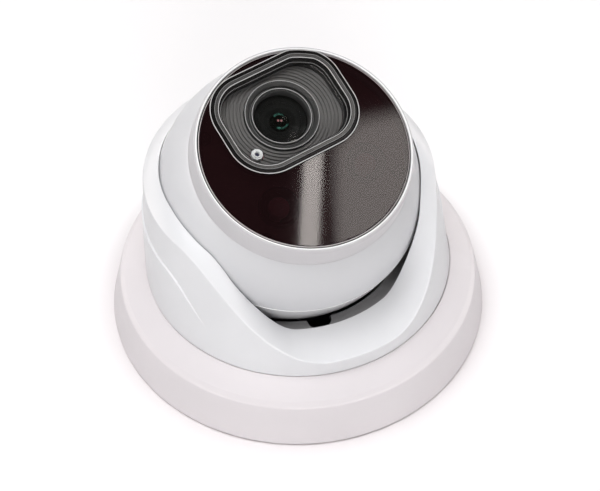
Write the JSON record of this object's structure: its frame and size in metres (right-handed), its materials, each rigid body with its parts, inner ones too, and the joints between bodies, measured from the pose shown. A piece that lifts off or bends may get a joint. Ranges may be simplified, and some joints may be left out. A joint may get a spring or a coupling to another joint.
{
  "type": "dome camera",
  "caption": "Turret dome security camera: a ball with a dark round window and an offset square-shrouded lens, held in a scooped collar on a wide round mounting base.",
  "frame": {"origin": "centre of the flat back of the mounting base, the face that goes against the ceiling or wall", "axes": "+Z along the pan axis, away from the mounting surface; -Y towards the low scoop in the collar, the way the lens leans; +X to the right of someone facing the scoop"},
  "size_m": [0.15, 0.15, 0.1062],
  "materials": {
    "pink_white_plastic": "fine satin, slightly pink white",
    "white_plastic": "fine satin, cool white",
    "rear_shell_plastic": "fine satin, light grey",
    "bezel_plastic": "satin, light grey",
    "grey_plastic": "satin, mid grey",
    "steel": "bright plated steel",
    "dark_steel": "blackened screw heads",
    "rubber": "black rubber",
    "nylon": "natural nylon",
    "tinted_window": "polished, dark red-brown tint",
    "face_plastic": "dark plate behind the window",
    "gloss_black_plastic": "polished black",
    "matt_black_plastic": "matt black, ribbed",
    "lens_glass": "coated optical glass",
    "clear_plastic": "clear, over a bright sensor chip",
    "lamp_plastic": "deep red lamp",
    "reflector": "dim reflector cup",
    "circuit_board": "green solder mask",
    "sensor_glass": "sensor cover glass",
    "filter_glass": "cyan infrared filter",
    "copper": "coil winding",
    "aluminium": "bare aluminium"
  },
  "bodies": {
    "base": {"mounting_base": "pink_white_plastic", "conduit_plug": "pink_white_plastic", "back_plate": "steel", "base_screw_1": "steel", "base_screw_2": "steel", "base_screw_3": "steel", "base_gasket": "rubber"},
    "collar": {"trim_collar": "white_plastic", "seat_ring": "grey_plastic", "pan_snap_ring": "steel"},
    "rear_half": {"rear_shell": "rear_shell_plastic", "trunnion_pin_left": "steel", "trunnion_pin_right": "steel", "tilt_washer_left": "nylon", "tilt_washer_right": "nylon", "roll_ring": "nylon", "cable_gland": "rubber"},
    "front_half": {"front_shell": "white_plastic", "bezel_ring": "bezel_plastic", "board_post_1": "steel", "board_post_2": "steel", "board_post_3": "steel", "board_post_4": "steel", "face_screw_1": "dark_steel", "face_screw_2": "dark_steel", "face_screw_3": "dark_steel", "face_screw_4": "dark_steel", "seam_seal": "rubber", "window_gasket": "rubber", "cable_connector": "nylon", "window": "tinted_window", "face_plate": "face_plastic", "lens_shroud": "gloss_black_plastic", "lens_baffle": "matt_black_plastic", "lens_ring": "matt_black_plastic", "lens_barrel": "matt_black_plastic", "lens_mount": "matt_black_plastic", "processor": "matt_black_plastic", "front_lens": "lens_glass", "rear_lens": "lens_glass", "light_sensor": "clear_plastic", "ir_led_left": "lamp_plastic", "ir_led_right": "lamp_plastic", "led_cup_left": "reflector", "led_cup_right": "reflector", "led_board": "circuit_board", "sensor_board": "circuit_board", "main_board": "circuit_board", "image_sensor": "sensor_glass", "ircut_coil": "copper", "inner_frame": "aluminium", "heat_sink": "aluminium", "focus_motor": "aluminium"},
    "focus_group": {"focus_cell": "nylon", "focus_lens": "lens_glass"},
    "lead_screw": {"focus_screw": "steel"},
    "filter_slide": {"ircut_filter": "filter_glass"}
  },
  "joints": [
    {"name": "pan", "type": "hinge", "parent": "base", "child": "collar", "pos_m": [0, 0, 0], "axis": [0, 0, 1], "range_deg": [-178, 178]},
    {"name": "tilt", "type": "hinge", "parent": "collar", "child": "rear_half", "pos_m": [0, 0.0075, 0.0538], "axis": [1, 0, 0], "range_deg": [-22, 37]},
    {"name": "roll", "type": "hinge", "parent": "rear_half", "child": "front_half", "pos_m": [0, 0.0075, 0.0538], "axis": [0, -0.3795, 0.9252], "range_deg": [-175, 175]},
    {"name": "focus", "type": "slide", "parent": "front_half", "child": "focus_group", "axis": [0, -0.3795, 0.9252], "range_m": [-0.0025, 0.0035]},
    {"name": "screw_turn", "type": "hinge", "parent": "front_half", "child": "lead_screw", "pos_m": [-0.01949, 0.01987, 0.05887], "axis": [0, -0.3795, 0.9252], "range_deg": [-451, 631]},
    {"name": "filter_shift", "type": "slide", "parent": "front_half", "child": "filter_slide", "axis": [0.989, 0.1368, 0.0561], "range_m": [0, 0.008]}
  ],
  "couplings": [
    {"joint": "screw_turn", "follows": "focus", "rad_per_m": 3141.6}
  ]
}
